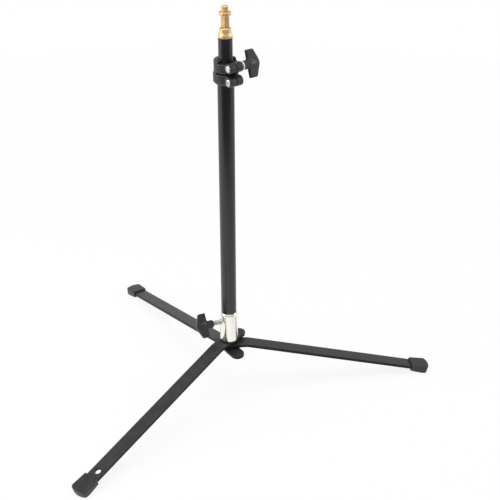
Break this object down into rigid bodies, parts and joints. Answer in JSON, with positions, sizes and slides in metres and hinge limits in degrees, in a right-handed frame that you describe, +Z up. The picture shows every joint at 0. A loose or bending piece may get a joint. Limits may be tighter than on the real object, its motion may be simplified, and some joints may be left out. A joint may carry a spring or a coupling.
{
  "type": "light stand",
  "caption": "Low stand for a stage or studio light: flat legs that fold on one pivot, a lift-out telescopic pole, a split clamp collar with a T-knob, and a brass stud on top.",
  "frame": {"origin": "centre of the flat underside of the pivot bolt's head, on the column's axis, 59.2 mm over the floor the boots stand on", "axes": "+Z up along the column, +X towards the right leg's side, -Y towards the front, where the picture was taken from"},
  "size_m": [0.5369, 0.5266, 0.6065],
  "materials": {
    "leg_paint": "satin black paint over steel",
    "boot_rubber": "matt black",
    "socket_chrome": "polished plating",
    "tube_black": "satin black, anodised",
    "moulded_black": "charcoal, moulded",
    "bright_steel": "bright, plated",
    "washer_black": "matt black",
    "washer_white": "white",
    "brass": "turned and polished",
    "plug_plastic": "matt dark grey"
  },
  "bodies": {
    "hub": {"hub_socket": "socket_chrome", "socket_washer": "washer_black", "pivot_bolt": "bright_steel", "pivot_washer": "bright_steel", "leg_spacer_lower": "washer_black", "leg_spacer_upper": "washer_black"},
    "front_left_leg": {"leg_front_left": "leg_paint", "boot_front_left": "boot_rubber"},
    "right_leg": {"leg_right": "leg_paint", "boot_right": "boot_rubber"},
    "back_left_leg": {"leg_back_left": "leg_paint", "boot_back_left": "boot_rubber"},
    "base_pad": {"base_screw_pad": "brass"},
    "base_handle": {"base_knob": "moulded_black", "base_knob_screw": "bright_steel"},
    "pin": {"pole_pin": "bright_steel"},
    "pole": {"pole_plug": "plug_plastic", "lower_tube": "tube_black", "clamp_collar": "moulded_black", "collar_screw": "bright_steel", "collar_nut": "bright_steel", "clamp_bolt": "bright_steel"},
    "clamp_ring": {"clamp_washer": "washer_white"},
    "collar_handle": {"collar_knob": "moulded_black", "collar_knob_insert": "brass"},
    "bush": {"slide_bush": "plug_plastic"},
    "column": {"upper_tube": "tube_black", "top_stud": "brass"}
  },
  "joints": [
    {"name": "leg_front_left_turn", "type": "hinge", "parent": "hub", "child": "front_left_leg", "pos_m": [0, 0, 0.0246], "axis": [0, 0, 1], "continuous": true},
    {"name": "leg_right_fold", "type": "hinge", "parent": "front_left_leg", "child": "right_leg", "pos_m": [0, 0, 0.0173], "axis": [0, 0, 1], "range_deg": [-123, 45]},
    {"name": "leg_back_left_fold", "type": "hinge", "parent": "front_left_leg", "child": "back_left_leg", "pos_m": [0, 0, 0.01], "axis": [0, 0, 1], "range_deg": [-45, 97]},
    {"name": "base_pad_slide", "type": "slide", "parent": "hub", "child": "base_pad", "axis": [-0.9171, -0.3987, 0], "range_m": [0, 0.0028]},
    {"name": "base_knob_turn", "type": "hinge", "parent": "base_pad", "child": "base_handle", "pos_m": [0, 0, 0.062], "axis": [-0.9171, -0.3987, 0], "range_deg": [0, 720]},
    {"name": "pole_lift", "type": "slide", "parent": "hub", "child": "pin", "axis": [0, 0, 1], "range_m": [0, 0.04]},
    {"name": "pole_turn", "type": "hinge", "parent": "pin", "child": "pole", "pos_m": [0, 0, 0.07], "axis": [0, 0, 1], "continuous": true},
    {"name": "clamp_washer_slide", "type": "slide", "parent": "pole", "child": "clamp_ring", "axis": [0.7826, 0.6225, 0], "range_m": [0, 0.0023]},
    {"name": "collar_knob_turn", "type": "hinge", "parent": "clamp_ring", "child": "collar_handle", "pos_m": [0.01152, -0.01448, 0.4701], "axis": [0.7826, 0.6225, 0], "range_deg": [0, 720]},
    {"name": "column_slide", "type": "slide", "parent": "pole", "child": "bush", "axis": [0, 0, 1], "range_m": [0, 0.333]},
    {"name": "column_turn", "type": "hinge", "parent": "bush", "child": "column", "pos_m": [0, 0, 0.3], "axis": [0, 0, 1], "continuous": true}
  ],
  "couplings": [
    {"joint": "base_pad_slide", "follows": "base_knob_turn", "m_per_rad": 0.00019894},
    {"joint": "clamp_washer_slide", "follows": "collar_knob_turn", "m_per_rad": 0.00015915}
  ]
}
